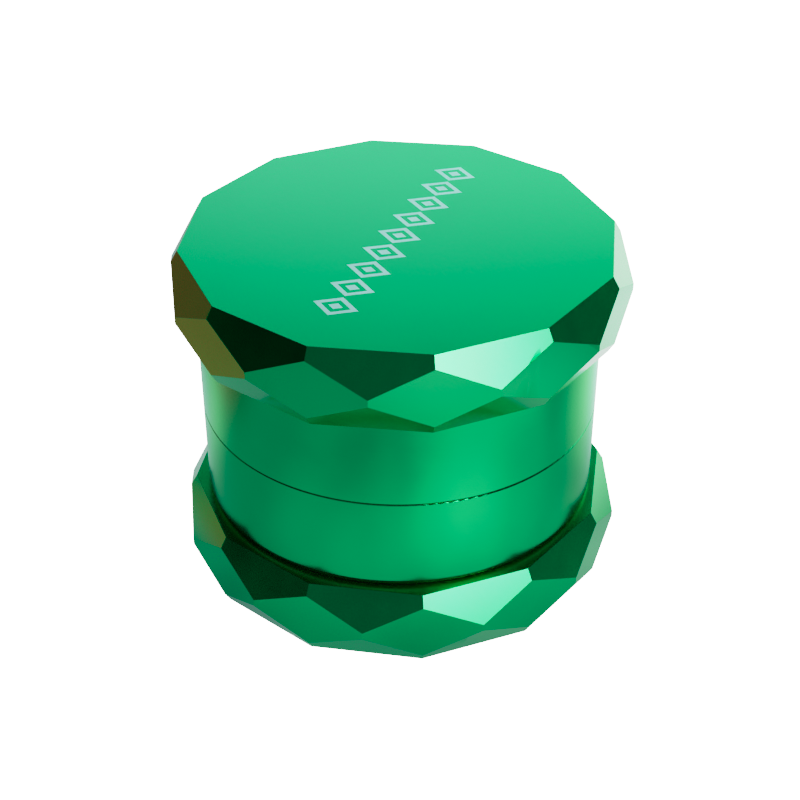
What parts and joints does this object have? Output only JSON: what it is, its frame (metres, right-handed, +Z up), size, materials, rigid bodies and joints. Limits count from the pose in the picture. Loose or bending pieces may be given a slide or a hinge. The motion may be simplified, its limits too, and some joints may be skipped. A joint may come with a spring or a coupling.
{
  "type": "herb grinder",
  "caption": "Round hand-turned grinder in green anodised aluminium: faceted lid and base, smooth screwed chambers between, teeth and a sieve inside.",
  "frame": {"origin": "centre of the base's underside, on the table", "axes": "+Z up along the axis that everything is turned about; +X towards an upright facet of the base"},
  "size_m": [0.0614, 0.0614, 0.049],
  "materials": {
    "anodised_green": "satin anodised, fine turning marks",
    "stainless_steel": "bright drawn wire",
    "nickel_plate": "bright nickel plate",
    "white_nylon": "moulded, matt",
    "scraper_plastic": "moulded, matt"
  },
  "bodies": {
    "base": {"base": "anodised_green"},
    "scraper": {"scraper": "scraper_plastic"},
    "sieve": {"sieve_mesh": "stainless_steel", "sieve_hoop": "stainless_steel"},
    "storage_chamber": {"storage_chamber": "anodised_green", "sieve_snap_ring": "stainless_steel"},
    "chamber_thrust": {"chamber_magnet": "nickel_plate"},
    "grinding_chamber": {"grinding_chamber": "anodised_green"},
    "glide_ring": {"glide_ring": "white_nylon"},
    "lid": {"lid": "anodised_green", "lid_magnet": "nickel_plate"}
  },
  "joints": [
    {"name": "scraper_spin", "type": "hinge", "parent": "base", "child": "scraper", "pos_m": [0, 0, 0.0026], "axis": [0, 0, 1], "continuous": true},
    {"name": "storage_rise", "type": "slide", "parent": "base", "child": "sieve", "axis": [0, 0, 1], "range_m": [0, 0.01201]},
    {"name": "storage_turn", "type": "hinge", "parent": "sieve", "child": "storage_chamber", "pos_m": [0, 0, 0.0114], "axis": [0, 0, 1], "range_deg": [0, 1440]},
    {"name": "chamber_rise", "type": "slide", "parent": "storage_chamber", "child": "chamber_thrust", "axis": [0, 0, 1], "range_m": [0, 0.01201]},
    {"name": "chamber_turn", "type": "hinge", "parent": "chamber_thrust", "child": "grinding_chamber", "pos_m": [0, 0, 0.0252], "axis": [0, 0, 1], "range_deg": [0, 1440]},
    {"name": "lid_lift", "type": "slide", "parent": "grinding_chamber", "child": "glide_ring", "axis": [0, 0, 1], "range_m": [0, 0.03]},
    {"name": "lid_turn", "type": "hinge", "parent": "glide_ring", "child": "lid", "pos_m": [0, 0, 0.0377], "axis": [0, 0, 1], "continuous": true}
  ],
  "couplings": [
    {"joint": "storage_rise", "follows": "storage_turn", "m_per_rad": 0.00047746},
    {"joint": "chamber_rise", "follows": "chamber_turn", "m_per_rad": 0.00047746}
  ]
}
